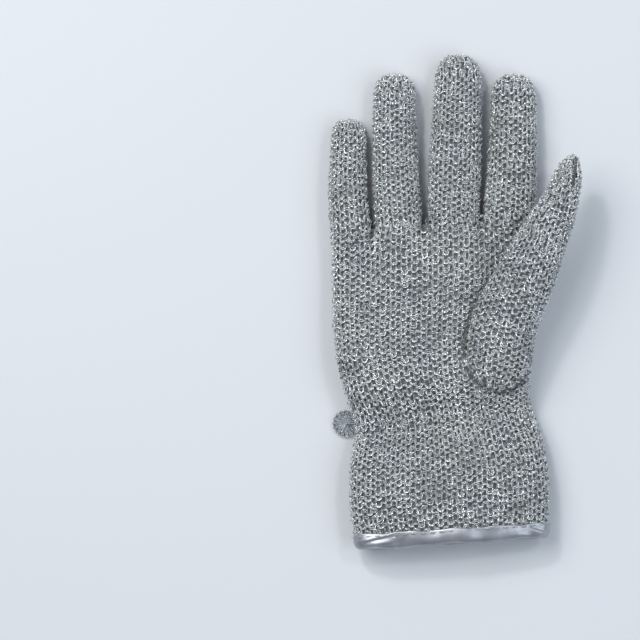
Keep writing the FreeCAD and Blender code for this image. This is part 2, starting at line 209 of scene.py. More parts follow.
class Skin:
    """A tube's outer surface as a grid: s is the share of the way round, v the distance along it in mm."""

    def __init__(self, rows, change=None, open_end=False):
        rows = np.array(rows)
        fine = along_weights(len(rows), np.linspace(0, len(rows) - 3, FINE_ROWS))
        turn = round_weights(np.arange(AROUND * 2) / (AROUND * 2))
        rings = np.einsum("vr,rkc,ak->vac", fine, rows, turn)
        rings = np.array([self.even(ring) for ring in rings])
        gaps = np.linalg.norm(np.diff(rings, axis=0), axis=2).mean(axis=1)
        at = np.concatenate([[0.0], np.cumsum(gaps)])
        self.length = at[-1]
        self.reach = self.length + OPEN_REACH if open_end else self.length - END_GAP
        stations = np.arange(0.0, self.length, STEP)
        index = np.clip(np.searchsorted(at, stations) - 1, 0, len(at) - 2)
        share = ((stations - at[index]) / np.maximum(at[index + 1] - at[index], 1e-9))[:, None, None]
        self.points = rings[index] * (1 - share) + rings[index + 1] * share
        self.centres = self.points.mean(axis=1)
        if change is not None:
            self.points = change(self)
        across = np.roll(self.points, -1, axis=1) - np.roll(self.points, 1, axis=1)
        along = np.gradient(self.points, axis=0)
        normals = np.cross(along, across)
        size = np.linalg.norm(normals, axis=2, keepdims=True)
        self.normals = normals / np.maximum(size, 1e-9)
        self.girth = np.linalg.norm(np.roll(self.points, -1, axis=1) - self.points, axis=2).sum(axis=1)

    @staticmethod
    def even(ring):
        """The ring's points spaced evenly along its length."""
        closed = np.vstack([ring, ring[:1]])
        at = np.concatenate([[0.0], np.cumsum(np.linalg.norm(np.diff(closed, axis=0), axis=1))])
        if at[-1] < 1e-6:
            return ring[::2]
        wanted = np.arange(AROUND) / AROUND * at[-1]
        return np.stack([np.interp(wanted, at, closed[:, axis]) for axis in range(3)], axis=1)

    def sample(self, s, v, lift):
        """Points and outward normals at s and v, lifted off the surface."""
        row = np.asarray(v) / STEP
        low = np.clip(np.floor(row).astype(int), 0, len(self.points) - 2)
        f = (row - low)[:, None]
        column = (np.asarray(s) % 1.0) * AROUND
        left = np.floor(column).astype(int) % AROUND
        right = (left + 1) % AROUND
        g = (column - np.floor(column))[:, None]

        def read(grid, along):
            near = grid[low, left] * (1 - g) + grid[low, right] * g
            far = grid[low + 1, left] * (1 - g) + grid[low + 1, right] * g
            return near * (1 - along) + far * along

        normal = read(self.normals, np.clip(f, 0, 1))
        normal /= np.maximum(np.linalg.norm(normal, axis=1, keepdims=True), 1e-9)
        return read(self.points, f) + normal * np.asarray(lift)[:, None], normal

    def station(self, axis, value):
        """The distance along the tube at which its centre line reaches value along axis."""
        return float(np.interp(value, self.centres @ np.asarray(axis), np.arange(len(self.centres)) * STEP))

    def girth_at(self, v):
        return float(np.interp(v, np.arange(len(self.girth)) * STEP, self.girth))

    def tree(self):
        """For asking how deep a point lies inside the tube."""
        grid = self.points[::4, ::4]
        rings, count = grid.shape[:2]
        corners = [tuple(p) for p in grid.reshape(-1, 3)]
        faces = []
        for here in range(0, (rings - 1) * count, count):
            there = here + count
            for k in range(count):
                j = (k + 1) % count
                faces.append((here + k, there + k, there + j, here + j))
        return BVHTree.FromPolygons(corners, faces)


def finger_at(finger, y):
    """The finger's x, half width and half height at y."""
    root, tip, dome, (base, mid, end) = finger
    part_way = mix(root, tip, MID_SHARE)
    start = tip - dome
    if y < part_way:
        return [mix(p, q, (y - root) / (part_way - root)) for p, q in zip(base, mid)]
    return [mix(p, q, (y - part_way) / (start - part_way)) for p, q in zip(mid, end)]


def finger_rows(finger):
    root, tip, dome, _ = finger
    start = tip - dome
    heights = [root - ROOT_DEPTH, root - ROOT_ROW, root]
    heights += [mix(root, start, share) for share in (0.25, 0.5, 0.75, 1.0)]
    rows = []
    for y in heights:
        x, half_width, half_height = finger_at(finger, max(y, root))
        taper = max(root - y, 0) / ROOT_DEPTH * ROOT_TAPER
        rows.append((y, x, half_width - taper, half_height - taper, half_height - SINK))
    y, x, half_width, half_height, middle = rows[-1]
    for share, scale in DOME:
        rows.append((start + share * dome, x, half_width * scale, half_height * scale, middle))
    across = np.array([1.0, 0.0, 0.0])
    return [section(np.array([x, y, z]), across, UP, w, h, POWER_DIGIT) for y, x, w, h, z in rows]


def unit(vector):
    return vector / np.linalg.norm(vector)


def thumb_rows():
    centres = [np.array(row[:3]) for row in THUMB] + [THUMB_TIP]
    rows = []

    def add(centre, along, half_width, half_height):
        side = unit(np.cross(along, UP))
        rows.append(section(centre, side, np.cross(side, along), half_width, half_height, POWER_DIGIT))

    for i, row in enumerate(THUMB):
        add(centres[i], unit(centres[i + 1] - centres[max(i - 1, 0)]), row[3], row[4])
    reach = np.linalg.norm(centres[-1] - centres[-2])
    along = unit(centres[-1] - centres[-2])
    for share, scale in THUMB_DOME:
        add(centres[-2] + along * (share * reach), along, THUMB[-1][3] * scale, THUMB[-1][4] * scale)
    return rows


def hand_rows():
    rows = []
    for left_x, left_y, right_x, right_y, height, dip, underside in reversed(HAND):
        left = np.array([left_x, left_y, 0.0])
        right = np.array([right_x, right_y, 0.0])
        centre = (left + right) / 2 + UP * (height / 2 + underside)
        half_width = np.linalg.norm(right - left) / 2
        rows.append(section(centre, unit(right - left), UP, half_width, height / 2, POWER_HAND, dip))
    return rows


CROTCHES = (-34.8, -6.2, 24.6)      # x of the gaps between the fingers
MIDDLE_Z = 9.2                      # height of the fingers' middles
VALLEY = 1.3                        # half the thickness of the cloth where palm and back meet in a gap
VALLEY_RUN = 13.0                   # the valleys between the fingers start this far below the gaps
ROOT_BLEND = 5.0                    # width over which one finger's root line passes into the next
ROOT_RUN = 32.0                     # the hand's end is brought to the roots over this length
GATHER_RUN = 10.0                   # the gathers fade this far from the elastic


def shape_hand(skin):
    """Brings the hand's end to the fingers' roots, and gives the cloth its gathers and soft undulation."""
    points = skin.points.copy()
    x, y, z = points[..., 0], points[..., 1], points[..., 2]
    names = list(FINGERS)
    root = np.full(x.shape, FINGERS[names[0]][0])
    for crotch, before, after in zip(CROTCHES, names, names[1:]):
        root += (FINGERS[after][0] - FINGERS[before][0]) * smooth((x - crotch) / ROOT_BLEND + 0.5)
    at = np.arange(len(points)) * STEP
    y += (root - y[-1][None, :]) * smooth((at - skin.length + ROOT_RUN) / ROOT_RUN)[:, None]
    profile = np.zeros(x.shape)
    for name in names:
        centre, half_width, half_height = FINGERS[name][3][0]
        inside = np.clip(1 - (np.abs(x - centre) / half_width) ** POWER_DIGIT, 0, 1) ** (1 / POWER_DIGIT)
        profile = np.maximum(profile, inside * half_height)
    profile = np.maximum(profile, VALLEY)
    run = smooth((y - root + VALLEY_RUN) / VALLEY_RUN) ** 1.5
    middle = skin.centres[:, 2][:, None]
    over = z > middle
    z[:] = np.where(over, mix(z, MIDDLE_Z + profile, run), mix(z, MIDDLE_Z - profile, run))
    # gathers on both sides of the elastic, and slow waves over the whole cloth
    across = unit(WRIST_RIGHT - WRIST_LEFT)
    up_hand = np.array([-across[1], across[0], 0.0])
    off = (points - WRIST_LEFT) @ up_hand
    s = np.arange(AROUND)[None, :] / AROUND
    near = np.exp(-((off / GATHER_RUN) ** 2))
    turn = 2 * np.pi * s
    fold = 0.55 * np.cos(17 * turn + 2 * np.pi * (0.35 * np.sin(3 * turn) + off / 60.0))
    fold += 0.35 * np.cos(29 * turn + 2 * np.pi * (0.2 * np.sin(5 * turn) - off / 45.0) + 1.0)
    wave = 0.34 * np.sin(x / 8.3 + y / 19.0) * np.sin(y / 10.5 - x / 31.0 + 0.7)
    wave += 0.42 * np.sin(x / 4.9 - y / 13.0 + 2.0) * np.sin(y / 6.7 + x / 17.0)
    wave += 0.22 * np.sin(x / 3.1 + y / 5.3 + 0.4) * np.sin(y / 3.6 - x / 7.9)
    rise = near * (fold - 0.5) + wave * (1 - near) * (1 - run)
    upward = np.where(over, 1.0, 0.35)
    outward = points - skin.centres[:, None, :]
    outward /= np.maximum(np.linalg.norm(outward, axis=2, keepdims=True), 1e-9)
    lifted = points + outward * (rise * upward)[..., None] * 0.4
    lifted[..., 2] += np.where(over, rise, 0.0) * 0.8
    lifted[..., 2] = np.maximum(lifted[..., 2], -SINK)
    return lifted


hand = Skin(hand_rows(), shape_hand, open_end=True)
thumb = Skin(thumb_rows())
digits = {name: Skin(finger_rows(finger)) for name, finger in FINGERS.items()}


# ---- mesh building ----
def make_mesh(name, points, faces, smooth_faces=True, uv=None, slots=None):
    """A mesh object from points in mm; faces is an array of quads or a list of corner lists."""
    mesh = bpy.data.meshes.new(name)
    if isinstance(faces, np.ndarray):
        mesh.vertices.add(len(points))
        mesh.vertices.foreach_set("co", (np.asarray(points) * MM).astype(np.float32).ravel())
        mesh.loops.add(faces.size)
        mesh.loops.foreach_set("vertex_index", faces.astype(np.int32).ravel())
        mesh.polygons.add(len(faces))
        mesh.polygons.foreach_set("loop_start", np.arange(len(faces), dtype=np.int32) * faces.shape[1])
        mesh.polygons.foreach_set("loop_total", np.full(len(faces), faces.shape[1], dtype=np.int32))
        mesh.update(calc_edges=True)
    else:
        mesh.from_pydata([tuple(p * MM) for p in np.asarray(points)], [], faces)
    mesh.polygons.foreach_set("use_smooth", np.full(len(mesh.polygons), smooth_faces))
    if uv is not None:
        mesh.uv_layers.new(name="Yarn").data.foreach_set("uv", uv.astype(np.float32).ravel())
    if slots is not None:
        mesh.polygons.foreach_set("material_index", np.asarray(slots, dtype=np.int32))
    mesh.update()
    piece = bpy.data.objects.new(name, mesh)
    bpy.context.scene.collection.objects.link(piece)
    return piece


def tubes(name, runs, radius, sides):
    """Round yarn along each run of (points, normals, closed), mapped by the way round and the length."""
    all_points, all_faces, all_uv = [], [], []
    start = 0
    around = np.arange(sides) * 2 * np.pi / sides
    for points, normals, closed in runs:
        count = len(points)
        if closed:
            tangent = np.roll(points, -1, axis=0) - np.roll(points, 1, axis=0)
            step = np.linalg.norm(np.roll(points, -1, axis=0) - points, axis=1)
        else:
            tangent = np.gradient(points, axis=0)
            step = np.linalg.norm(np.diff(points, axis=0), axis=1)
        tangent /= np.maximum(np.linalg.norm(tangent, axis=1, keepdims=True), 1e-9)
        side = np.cross(tangent, normals)
        side /= np.maximum(np.linalg.norm(side, axis=1, keepdims=True), 1e-9)
        up = np.cross(side, tangent)
        outward = np.cos(around)[None, :, None] * side[:, None, :]
        outward = outward + np.sin(around)[None, :, None] * up[:, None, :]
        ring = points[:, None, :] + radius * outward
        ring[..., 2] = np.maximum(ring[..., 2], FLOOR_GAP)
        at = np.concatenate([[0.0], np.cumsum(step)])
        spans = count if closed else count - 1
        i = np.arange(spans)[:, None]
        k = np.arange(sides)[None, :]
        after = (i + 1) % count
        turn = (k + 1) % sides
        here = i * sides
        there = after * sides
        faces = np.stack([here + k, there + k, there + turn, here + turn], axis=-1)
        u0 = np.broadcast_to(k / sides, (spans, sides))
        u1 = np.broadcast_to((k + 1) / sides, (spans, sides))
        v0 = np.broadcast_to(at[:spans][:, None], (spans, sides))
        v1 = np.broadcast_to(at[1 : spans + 1][:, None], (spans, sides))
        corners = ((u0, v0), (u0, v1), (u1, v1), (u1, v0))
        uv = np.stack([np.stack(corner, -1) for corner in corners], 2)
        all_points.append(ring.reshape(-1, 3))
        all_faces.append(faces.reshape(-1, 4) + start)
        all_uv.append(uv.reshape(-1, 2))
        start += count * sides
    return make_mesh(name, np.concatenate(all_points), np.concatenate(all_faces), uv=np.concatenate(all_uv))


def ring_faces(rings, count):
    """Quads of a closed profile swept round a closed loop: the last ring of count points joins the first."""
    i = np.arange(rings)[:, None]
    k = np.arange(count)[None, :]
    here = i * count
    there = (i + 1) % rings * count
    after = (k + 1) % count
    return np.stack([here + k, there + k, there + after, here + after], axis=-1).reshape(-1, 4)


def wobble(loops, amount, length):
    """Smooth random wandering of a closed course: one value for each half loop, joined up."""
    values = rng.normal(0.0, amount, loops * 2)
    at = np.arange(length) / length * loops * 2
    low = np.floor(at).astype(int)
    f = smooth(at - low)
    return values[low % (loops * 2)] * (1 - f) + values[(low + 1) % (loops * 2)] * f


def course(skin, v, pitch, wales, yarn, grooves):
    """One closed course of loops round a tube, purl side out: a list with one yarn or two twisted strands."""
    count = wales * yarn["segments"]
    w = np.arange(count) / yarn["segments"]
    t = 2 * np.pi * w
    rough = yarn["rough"]
    s = (w + yarn["lean"] * np.sin(2 * t) + wobble(wales, 0.070 * rough, count)) / wales
    tall = 1 + wobble(wales, 0.15 * rough, count)
    height = v + pitch * (yarn["height"] * tall * np.cos(t) + wobble(wales, 0.090 * rough, count))
    height = np.clip(height, 0.2, skin.reach)
    lift = -yarn["depth"] + yarn["swell"] * np.cos(2 * t) + wobble(wales, 0.18 * rough, count)
    for dip in grooves:
        lift -= dip(s % 1.0, height)
    points, normals = skin.sample(s, height, lift)
    if not yarn["gap"]:
        points[:, 2] = np.maximum(points[:, 2], FLOOR_GAP + yarn["radius"])
        return [(points, normals)]
    tangent = np.roll(points, -1, axis=0) - np.roll(points, 1, axis=0)
    side = np.cross(tangent, normals)
    side /= np.maximum(np.linalg.norm(side, axis=1, keepdims=True), 1e-9)
    twist = t + wobble(wales, 0.35, count)
    apart = yarn["gap"] * (1 + wobble(wales, 0.30, count))
    offset = (apart * np.cos(twist))[:, None] * side + (apart * np.sin(twist))[:, None] * normals
    strands = []
    for sign in (1.0, -1.0):
        strand = points + sign * offset
        strand[:, 2] = np.maximum(strand[:, 2], FLOOR_GAP + yarn["radius"])
        strands.append((strand, normals))
    return strands


def wales_at(skin, v, most):
    """How many loops go round: the full count, fewer where a digit closes."""
    girth = skin.girth_at(v)
    if girth > most * WALE * 0.80:
        return most
    return max(4, int(round(girth / (WALE * 0.92))))


def split_runs(points, normals, keep, closed):
    """The kept stretches of a course, as runs."""
    if keep.all():
        return [(points, normals, closed)]
    if not keep.any():
        return []
    if closed:
        first = int(np.argmin(keep))
        points = np.roll(points, -first, axis=0)
        normals = np.roll(normals, -first, axis=0)
        keep = np.roll(keep, -first)
    edges = np.flatnonzero(np.diff(np.concatenate([[0], keep.astype(int), [0]])))
    return [(points[a:b], normals[a:b], False) for a, b in zip(edges[::2], edges[1::2]) if b - a > 3]


def height_over(points, tree):
    """Each point's height over the closed surface of tree, negative inside it."""
    heights = np.empty(len(points))
    for i, point in enumerate(points):
        place, normal, _, distance = tree.find_nearest(Vector(point))
        heights[i] = math.copysign(distance, (Vector(point) - place).dot(normal))
    return heights


def knit(skin, low, high, most, yarn, part=None, hidden=None, grooves=()):
    """Runs of yarn from low to high, a list for each strand, within part of s and outside the hidden tube."""
    strands = [[], []] if yarn["gap"] else [[]]
    rows = max(1, round((high - low) / PITCH))
    pitch = (high - low) / rows
    for row in range(rows):
        v = low + (row + 0.5) * pitch
        wales = wales_at(skin, v, most)
        for runs, (points, normals) in zip(strands, course(skin, v, pitch, wales, yarn, grooves)):
            if part is not None:
                index = np.arange(int(part[0] * len(points)), int(part[1] * len(points)) + 1) % len(points)
                points, normals = points[index], normals[index]
            keep = np.ones(len(points), dtype=bool)
            if hidden is not None:
                heights = height_over(points, hidden)
                keep = heights > -HIDDEN_DEPTH
                points = points - normals * (SEAM_DEPTH * np.exp(-((heights / SEAM_WIDTH) ** 2)))[:, None]
            runs += split_runs(points, normals, keep, closed=part is None)
    return strands


LINING_STEP = 1.6      # from one ring of the lining to the next
LAYER_GAP = 0.25       # half the least air between the palm's and the back's linings
FLOOR_GROWTH = 0.28    # deeper layers stay higher over the floor, by this share of their depth


def lining(name, skin, low, high, closed_end=False, keep_apart=False, count=96, grooves=()):
    """A double-walled tube of cloth: the grey back of the knit outside, darkened as painted shade in the
    holes between the loops, white flock inside.
    """
    s = np.arange(count) / count
    outer_at = np.linspace(low, high, max(3, int((high - low) / LINING_STEP)))
    inner_high = high
    if closed_end:
        outer_at = np.linspace(low, skin.length - 0.6, int((skin.length - low) / LINING_STEP) + 2)
        inner_high = skin.length - LINER_DEPTH - 2.0
    inner_at = np.linspace(low, inner_high, max(3, int((inner_high - low) / LINING_STEP)))

    def ring(v, depth, bump):
        lift = -depth + bump * np.sin(s * 2 * np.pi * 31 + v * 1.7) * np.sin(v * 1.9)
        if depth == BACKING_DEPTH:
            for dip in grooves:
                lift -= 0.8 * dip(s, np.full(count, v))
        points, _ = skin.sample(s, np.full(count, v), lift)
        z = points[:, 2]
        if keep_apart:
            z = np.where(s < 0.5, np.maximum(z, MIDDLE_Z + LAYER_GAP), np.minimum(z, MIDDLE_Z - LAYER_GAP))
        points[:, 2] = np.maximum(z, 0.4 + FLOOR_GROWTH * depth)
        return points

    rings = [ring(v, BACKING_DEPTH, 0.12) for v in outer_at[::-1]]
    outside = len(rings)
    rings += [ring(v, LINER_DEPTH, 0.05) for v in inner_at]
    points = np.concatenate(rings)
    faces, slots = [], []
    end = (len(rings) - 1) * count      # first point of the last ring
    for here in range(0, end, count):
        there = here + count
        for k in range(count):
            j = (k + 1) % count
            faces.append((here + k, here + j, there + j, there + k))
            slots.append(0 if there < outside * count else 1)
    if closed_end:
        top, inner_top = len(points), len(points) + 1
        points = np.vstack([points, rings[0].mean(axis=0), rings[-1].mean(axis=0)])
    for k in range(count):
        j = (k + 1) % count
        if closed_end:
            faces += [(top, j, k), (inner_top, end + k, end + j)]
            slots += [0, 1]
        else:
            faces.append((end + k, end + j, j, k))
            slots.append(1)
    return make_mesh(name, points, faces, slots=slots)


# ---- materials ----
class Nodes:
    """Short ways to build a material's nodes."""

    def __init__(self, name):
        self.material = bpy.data.materials.new(name)
        self.material.use_nodes = True
        self.tree = self.material.node_tree
        self.shader = self.tree.nodes["Principled BSDF"]

    def add(self, kind, **settings):
        node = self.tree.nodes.new(kind)
        for key, value in settings.items():
            setattr(node, key, value)
        return node

    def put(self, socket, value):
        if isinstance(value, bpy.types.NodeSocket):
            self.tree.links.new(value, socket)
        else:
            socket.default_value = value

    def math(self, operation, a, b=0.0):
        node = self.add("ShaderNodeMath", operation=operation)
        self.put(node.inputs[0], a)
        self.put(node.inputs[1], b)
        return node.outputs[0]

    def place(self):
        return self.add("ShaderNodeTexCoord").outputs["Object"]

    def noise(self, scale, detail=2.0, roughness=0.5):
        node = self.add("ShaderNodeTexNoise")
        self.put(node.inputs["Vector"], self.place())
        self.put(node.inputs["Scale"], scale)
        self.put(node.inputs["Detail"], detail)
        self.put(node.inputs["Roughness"], roughness)
        return node.outputs["Fac"]

    def ramp(self, value, stops):
        node = self.add("ShaderNodeValToRGB")
        self.put(node.inputs[0], value)
        elements = node.color_ramp.elements
        while len(elements) < len(stops):
            elements.new(0.5)
        for element, (position, colour) in zip(elements, stops):
            element.position = position
            element.color = (*colour, 1.0)
        return node.outputs[0]

    def range(self, value, low, high):
        node = self.add("ShaderNodeMapRange")
        self.put(node.inputs["Value"], value)
        self.put(node.inputs["To Min"], low)
        self.put(node.inputs["To Max"], high)
        return node.outputs[0]

    def tint(self, a, b):
        """The product of two colours."""
        node = self.add("ShaderNodeMix", data_type="RGBA", blend_type="MULTIPLY")
        self.put(node.inputs["Factor"], 1.0)
        self.put(node.inputs[6], a)
        self.put(node.inputs[7], b)
        return node.outputs[2]

    def bump(self, height, distance, strength):
        node = self.add("ShaderNodeBump")
        self.put(node.inputs["Height"], height)
        self.put(node.inputs["Distance"], distance)
        self.put(node.inputs["Strength"], strength)
        self.put(self.shader.inputs["Normal"], node.outputs[0])

    def finish(self, **values):
        for key, value in values.items():
            self.put(self.shader.inputs[key.replace("_", " ").title().replace("Ior", "IOR")], value)
        return self.material


def yarn_turns(n, per_mm):
    """0 to 1 across each helical turn of a plied yarn, from its map."""
    mapped = n.add("ShaderNodeUVMap", uv_map="Yarn").outputs[0]
    split = n.add("ShaderNodeSeparateXYZ")
    n.put(split.inputs[0], mapped)
    return n.math("FRACT", n.math("ADD", n.math("MULTIPLY", split.outputs[1], per_mm), split.outputs[0]))


def silver_yarn():
    n = Nodes("metal_yarn_knit")
    turns = yarn_turns(n, 0.62)
    # painted highlight and shade: the bright and dark phases of each helical turn stand in for glints on the
    # plies and the shade between them
    ply_light_and_shade = [(0.0, (1.0, 1.0, 1.0)), (0.56, (0.93, 0.95, 0.97))]
    ply_light_and_shade += [(0.68, (0.40, 0.42, 0.43)), (0.94, (0.50, 0.52, 0.53))]
    strands = n.ramp(turns, ply_light_and_shade)
    # random tone at a small scale, and painted sheen at a broad scale: brighter and duller patches stand in
    # for reflections off loops turned this way and that
    small = n.math("MULTIPLY", n.noise(260.0, 3.0), 0.6)
    broad_sheen = n.math("MULTIPLY", n.noise(55.0, 2.0), 0.4)
    wear_and_sheen = n.ramp(n.math("ADD", small, broad_sheen), [(0.36, (0.58, 0.61, 0.62)), (0.54, (1.0, 1.0, 1.0))])
    colour = n.tint(strands, wear_and_sheen)
    rough = n.range(n.noise(900.0, 2.0), 0.14, 0.32)
    n.bump(n.noise(2600.0, 2.0), 0.00012, 0.7)
    return n.finish(base_color=colour, roughness=rough, metallic=0.6, specular_ior_level=1.0)


def ground_yarn():
    n = Nodes("ground_yarn")
    turns = yarn_turns(n, 0.45)
    # painted shade: the dark phase of each helical turn stands in for the shade between the plies
    ply_light_and_shade = [(0.0, (0.39, 0.412, 0.41)), (0.5, (0.34, 0.362, 0.36))]
    ply_light_and_shade += [(0.62, (0.125, 0.134, 0.139)), (0.95, (0.20, 0.213, 0.22))]
    # painted reflection: slow bluish, greenish and warm tints stand in for coloured light reflected into the
    # ground yarn
    reflected_tint = [(0.34, (0.78, 0.82, 0.90)), (0.50, (0.88, 0.93, 0.90)), (0.68, (1.06, 1.10, 1.02))]
    colour = n.tint(n.ramp(turns, ply_light_and_shade), n.ramp(n.noise(45.0, 3.0), reflected_tint))
    n.bump(n.noise(2200.0, 3.0), 0.0002, 0.8)
    return n.finish(base_color=colour, roughness=n.range(n.noise(700.0), 0.42, 0.7), metallic=0.25)


def knit_back_hole_shade():
    n = Nodes("knit_back_hole_shade")
    # painted shade: the back is kept dark so that the holes between the loops look shaded
    colour = n.ramp(n.noise(520.0, 4.0), [(0.32, (0.13, 0.14, 0.145)), (0.68, (0.29, 0.305, 0.305))])
    n.bump(n.noise(1500.0, 4.0), 0.0004, 0.9)
    return n.finish(base_color=colour, roughness=n.range(n.noise(800.0), 0.6, 0.9), metallic=0.1)


def flock():
    n = Nodes("flocked_liner")
    tones = [(0.28, (0.66, 0.68, 0.67)), (0.70, (0.86, 0.87, 0.86))]
    colour = n.ramp(n.noise(70.0, 5.0, roughness=0.7), tones)
    n.bump(n.noise(1900.0, 5.0, roughness=0.75), 0.0006, 0.8)
    return n.finish(base_color=colour, roughness=n.range(n.noise(400.0), 0.82, 1.0), sheen_weight=0.5)


def satin_tape():
    n = Nodes("silver_tape")
    tones = [(0.30, (0.30, 0.315, 0.345)), (0.55, (0.41, 0.43, 0.465)), (0.75, (0.54, 0.565, 0.60))]
    colour = n.ramp(n.noise(95.0, 4.0), tones)
    fine = n.math("MULTIPLY", n.noise(1800.0, 3.0), 0.3)
    n.bump(n.math("ADD", n.noise(120.0, 2.0), fine), 0.0004, 0.5)
    return n.finish(base_color=colour, roughness=n.range(n.noise(300.0, 3.0), 0.30, 0.46), metallic=0.8)


def sewing_thread(name, light, dark):
    n = Nodes(name)
    colour = n.ramp(n.noise(900.0, 3.0), [(0.35, dark), (0.65, light)])
    n.bump(n.noise(3000.0, 2.0), 0.0002, 0.7)
    return n.finish(base_color=colour, roughness=n.range(n.noise(900.0), 0.45, 0.7))


def elastic():
    n = Nodes("elastic_band")
    wave = n.add("ShaderNodeTexWave", wave_type="BANDS", bands_direction="DIAGONAL")
    n.put(wave.inputs["Vector"], n.place())
    n.put(wave.inputs["Scale"], 900.0)
    colour = n.ramp(wave.outputs["Fac"], [(0.2, (0.62, 0.63, 0.64)), (0.8, (0.86, 0.87, 0.88))])
    n.bump(wave.outputs["Fac"], 0.0003, 0.8)
    return n.finish(base_color=colour, roughness=n.range(n.noise(500.0), 0.55, 0.75))


def clear_button():
    n = Nodes("clear_button")
    away = n.add("ShaderNodeVectorMath", operation="SUBTRACT")
    n.put(away.inputs[0], n.place())
    n.put(away.inputs[1], tuple(BUTTON_CENTRE * MM))
    fan = n.add("ShaderNodeTexGradient", gradient_type="RADIAL")
    n.put(fan.inputs[0], away.outputs[0])
    turns = n.math("FRACT", n.math("MULTIPLY", fan.outputs["Fac"], BUTTON_SIDES / 2))
    # painted reflection and shade: a bright, grey, dark and bright band across each pair of facets stands in
    # for the light that the clear facets would reflect and bend
    facets = [(0.0, (0.97, 0.98, 1.0)), (0.30, (0.82, 0.85, 0.88))]
    facets += [(0.50, (0.46, 0.49, 0.52)), (0.62, (0.90, 0.92, 0.95))]
    clouds = n.ramp(n.noise(330.0, 2.0), [(0.35, (0.70, 0.73, 0.76)), (0.6, (1.0, 1.0, 1.0))])
    colour = n.tint(n.ramp(turns, facets), clouds)
    n.bump(n.noise(420.0, 2.0), 0.00025, 0.4)
    rough = n.range(n.noise(300.0), 0.02, 0.10)
    return n.finish(base_color=colour, roughness=rough, ior=1.49, transmission_weight=0.9)


SILVER_MATERIAL = silver_yarn()
GROUND_MATERIAL = ground_yarn()
BACK_SHADE_MATERIAL = knit_back_hole_shade()
FLOCK_MATERIAL = flock()
TAPE_MATERIAL = satin_tape()
THREAD_MATERIAL = sewing_thread("sewing_thread", (0.46, 0.48, 0.51), (0.28, 0.295, 0.315))
# near-black: painted shadow in the folds at the thumb's tip and base seams
SEAM_SHADOW_MATERIAL = sewing_thread("seam_shadow_thread", (0.11, 0.115, 0.12), (0.035, 0.037, 0.04))
ELASTIC_MATERIAL = elastic()
BUTTON_MATERIAL = clear_button()


def dress(piece, *materials):
    """The piece with its materials."""
    for material in materials:
        piece.data.materials.append(material)
    return piece


def riding(body):
    """Makes a piece ride on body."""
    return lambda piece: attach(piece, body)


def bending():
    """Bakes the piece's place into its mesh and leaves it unattached."""
    return lambda piece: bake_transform(piece)


def finished(piece, join, nodes=()):
    """Joins a piece to its bodies and hides the CAD nodes that it stands for."""
    join(piece)
    if nodes:
        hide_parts(*nodes)


def cloth(name, skin, low, high, most, join, nodes, part=None, hidden=None, grooves=()):
    """The silver and grey yarn of one stretch of the glove; its first silver strand stands for the nodes."""
    silver = knit(skin, low, high, most, SILVER, part, hidden, grooves)
    for strand, runs in zip("ab", silver):
        piece = tubes(f"{name}_silver_strand_{strand}", runs, YARN_R, SILVER["sides"])
        finished(dress(piece, SILVER_MATERIAL), join, nodes if strand == "a" else [])
    ground = knit(skin, low, high, most, GROUND, part, hidden, grooves)[0]
    piece = tubes(f"{name}_ground_yarn", ground, GROUND_R, GROUND["sides"])
    finished(dress(piece, GROUND_MATERIAL), join)


def lined(name, skin, low, high, join, nodes, **shape):
    """The lining of one stretch of the glove."""
    piece = lining(f"{name}_lining", skin, low, high, **shape)
    finished(dress(piece, BACK_SHADE_MATERIAL, FLOCK_MATERIAL), join, nodes)


# ---- digits ----
GROOVE_WIDTH = 1.1
GROOVE_END = 6.0       # a groove grows to its full depth over this length
STALLS = ("lower", "middle", "tip")
ZONES = ("base", "middle", "tip")


def groove(s0, s1, v0, v1, depth, girth):
    """A seam drawn into the cloth of a tube of this girth, from (s0, v0) to (s1, v1)."""

    def dip(s, v):
        centre = mix(s0, s1, np.clip((v - v0) / (v1 - v0), 0, 1))
        away = np.abs((s - centre + 0.5) % 1.0 - 0.5) * girth / GROOVE_WIDTH
        ends = smooth((v - v0) / GROOVE_END) * smooth((v1 - v) / GROOVE_END + 1.0)
        return depth * np.exp(-(away**2)) * ends

    return dip


def cuts_between(hinges, halves):
    """The places midway between the bending zones of each hinge and the next."""
    pairs = zip(hinges, halves, hinges[1:], halves[1:])
    return [(low + low_half + high - high_half) / 2 for low, low_half, high, high_half in pairs]


def make_finger(name):
    """Three stretches of knit and lining, one round each hinge."""
    finger, skin, halves = FINGERS[name], digits[name], HINGE_HALF[name]
    root, tip, dome, _ = finger
    hinges = [root + share * (tip - root) for share in HINGE_AT]
    at = [skin.station(Y_AXIS, y) for y in [root] + cuts_between(hinges, halves)] + [skin.length - TIP_GAP]
    girth = skin.girth_at(at[1])
    most = int(round(girth / WALE))
    grooves = [groove(0.475, 0.36, at[1] + 6.0, skin.length, 1.5, girth)] if name == "index" else []
    for i, (zone, stall) in enumerate(zip(ZONES, STALLS)):
        join = bending()
        nodes = [f"{name}_{zone}_knuckle", f"{name}_{stall}_stall"]
        stretch = (f"{name}_{zone}", skin, at[i], at[i + 1])
        cloth(*stretch, most, join, nodes, grooves=grooves)
        lined(*stretch, join, [f"{name}_liner"] if i == 0 else [], closed_end=i == 2, grooves=grooves)


for finger_name in FINGERS:
    make_finger(finger_name)

thumb_axis = THUMB_AIM - THUMB_FREE
thumb_axis = unit(np.array([thumb_axis[0], thumb_axis[1], 0.0]))
hand_tree = hand.tree()
thumb_tree = thumb.tree()


